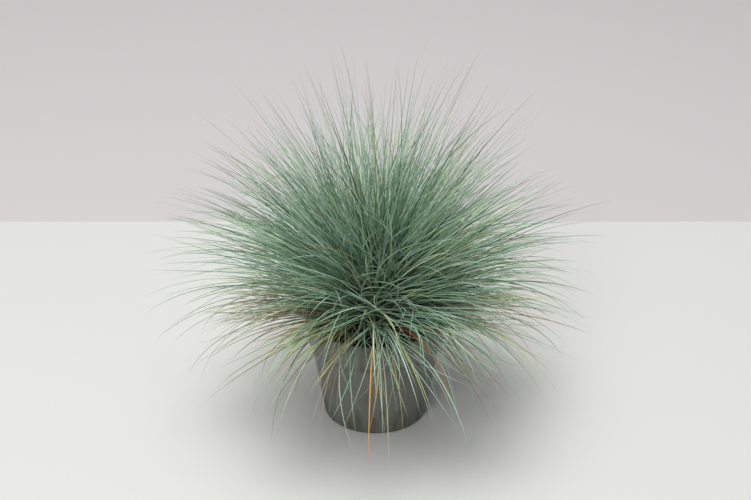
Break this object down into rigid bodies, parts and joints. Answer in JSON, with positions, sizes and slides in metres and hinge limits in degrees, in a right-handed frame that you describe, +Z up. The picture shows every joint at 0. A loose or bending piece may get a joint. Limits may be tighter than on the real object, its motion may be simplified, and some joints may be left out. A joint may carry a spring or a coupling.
{
  "type": "potted fescue",
  "caption": "Blue fescue in a round grey nursery pot: a dense fan of fine blue-green needle leaves that arches out over the rim from a low crown in dark peat.",
  "frame": {"origin": "centre of the pot's flat underside, on the surface that the pot stands on", "axes": "+Z up along the pot's axis; -Y towards the side that the picture shows, +X to its right"},
  "size_m": [0.3549, 0.3537, 0.3119],
  "materials": {
    "pot_plastic": "matte grey thermoformed plastic",
    "peat": "moist dark brown peat, loose and fibrous",
    "crown": "dull olive and straw-brown leaf sheaths",
    "leaf": "blue-green waxy needle leaves, semi-matte"
  },
  "bodies": {
    "root": {"pot": "pot_plastic", "peat_substrate": "peat", "crown": "crown", "tiller_01": "leaf", "tiller_02": "leaf", "tiller_03": "leaf", "tiller_04": "leaf", "tiller_05": "leaf", "tiller_06": "leaf", "tiller_07": "leaf", "tiller_08": "leaf", "tiller_09": "leaf", "tiller_10": "leaf", "tiller_11": "leaf", "tiller_12": "leaf", "tiller_13": "leaf", "tiller_14": "leaf", "tiller_15": "leaf", "tiller_16": "leaf", "tiller_17": "leaf", "tiller_18": "leaf", "tiller_19": "leaf", "tiller_20": "leaf", "tiller_21": "leaf", "tiller_22": "leaf", "tiller_23": "leaf", "tiller_24": "leaf", "tiller_25": "leaf", "tiller_26": "leaf", "tiller_27": "leaf", "tiller_28": "leaf", "tiller_29": "leaf", "tiller_30": "leaf", "tiller_31": "leaf", "tiller_32": "leaf", "tiller_33": "leaf", "tiller_34": "leaf", "tiller_35": "leaf", "tiller_36": "leaf", "tiller_37": "leaf", "tiller_38": "leaf", "tiller_39": "leaf", "tiller_40": "leaf", "tiller_41": "leaf", "tiller_42": "leaf", "tiller_43": "leaf"}
  },
  "joints": []
}
